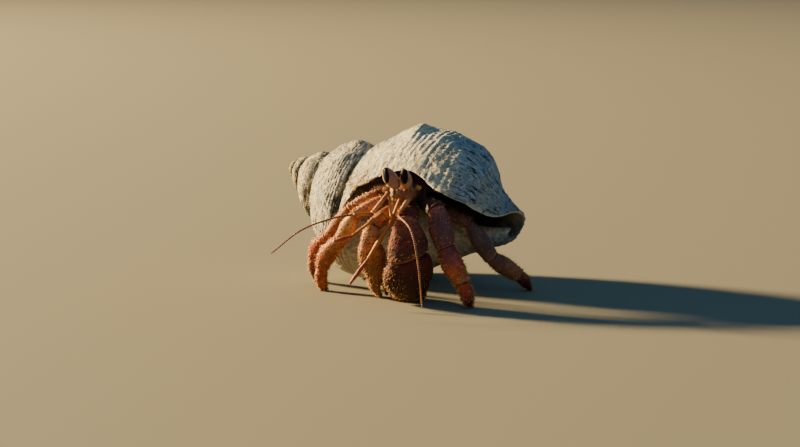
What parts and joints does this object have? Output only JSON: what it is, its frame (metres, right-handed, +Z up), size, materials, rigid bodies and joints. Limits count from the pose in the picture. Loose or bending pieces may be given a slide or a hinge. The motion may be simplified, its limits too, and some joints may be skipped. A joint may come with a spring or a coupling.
{
  "type": "hermit crab",
  "caption": "Land hermit crab walking in a worn whelk shell, eyestalks and feelers raised towards the viewer, big claw folded below them.",
  "frame": {"origin": "on the floor, under the middle of the whole animal's bounding box", "axes": "+Z up from the floor; the crab faces -Y; its own right side is towards -X; the shell's spire points back towards -X and +Y"},
  "size_m": [0.0592, 0.0581, 0.0385],
  "materials": {
    "shell_chalk": "chalky, worn, matt",
    "leg_orange": "granular hard skin, satin",
    "leg_tan": "granular hard skin, satin",
    "claw_purple": "granular hard skin, satin",
    "body_brown": "thin hard skin, satin",
    "belly_pink": "soft moist skin",
    "stalk_tan": "smooth hard skin, satin",
    "eye_dark": "glossy",
    "feeler_gold": "smooth hard skin, satin"
  },
  "bodies": {
    "root": {"shell": "shell_chalk", "leg_front_right_ischium": "leg_orange", "leg_front_right_merus": "leg_orange", "leg_front_right_carpus": "leg_orange", "leg_front_right_propodus": "leg_orange", "leg_front_right_dactylus": "leg_orange", "leg_rear_right_ischium": "leg_orange", "leg_rear_right_merus": "leg_orange", "leg_rear_right_carpus": "leg_orange", "leg_rear_right_propodus": "leg_orange", "leg_rear_right_dactylus": "leg_orange", "leg_front_left_ischium": "leg_orange", "leg_front_left_merus": "leg_orange", "leg_front_left_carpus": "leg_orange", "leg_front_left_propodus": "leg_orange", "leg_front_left_dactylus": "leg_orange", "leg_rear_left_ischium": "leg_orange", "leg_rear_left_merus": "leg_orange", "leg_rear_left_carpus": "leg_orange", "leg_rear_left_propodus": "leg_orange", "leg_rear_left_dactylus": "leg_orange", "claw_left_ischium": "claw_purple", "claw_left_merus": "claw_purple", "claw_left_carpus": "claw_purple", "claw_left_palm": "claw_purple", "claw_left_finger": "claw_purple", "claw_right_ischium": "leg_tan", "claw_right_merus": "leg_tan", "claw_right_carpus": "leg_tan", "claw_right_palm": "leg_tan", "claw_right_finger": "leg_tan", "eyestalk_right": "stalk_tan", "eye_right": "eye_dark", "eyestalk_left": "stalk_tan", "eye_left": "eye_dark", "antenna_right_peduncle": "feeler_gold", "antenna_right_article": "feeler_gold", "antenna_left_peduncle": "feeler_gold", "antennal_scale_right": "feeler_gold", "antennal_scale_left": "feeler_gold", "antenna_right_flagellum": "feeler_gold", "antenna_left_flagellum": "feeler_gold", "antennule_right_stem": "feeler_gold", "antennule_right_knee": "feeler_gold", "antennule_right_rod": "feeler_gold", "antennule_right_club": "feeler_gold", "antennule_left_stem": "feeler_gold", "antennule_left_rod": "feeler_gold", "antennule_left_club": "feeler_gold", "mouthpart_right": "leg_tan", "mouthpart_left": "leg_tan", "leg_fourth_left": "leg_tan", "leg_fourth_right": "leg_tan", "carapace": "body_brown", "abdomen": "belly_pink"}
  },
  "joints": []
}
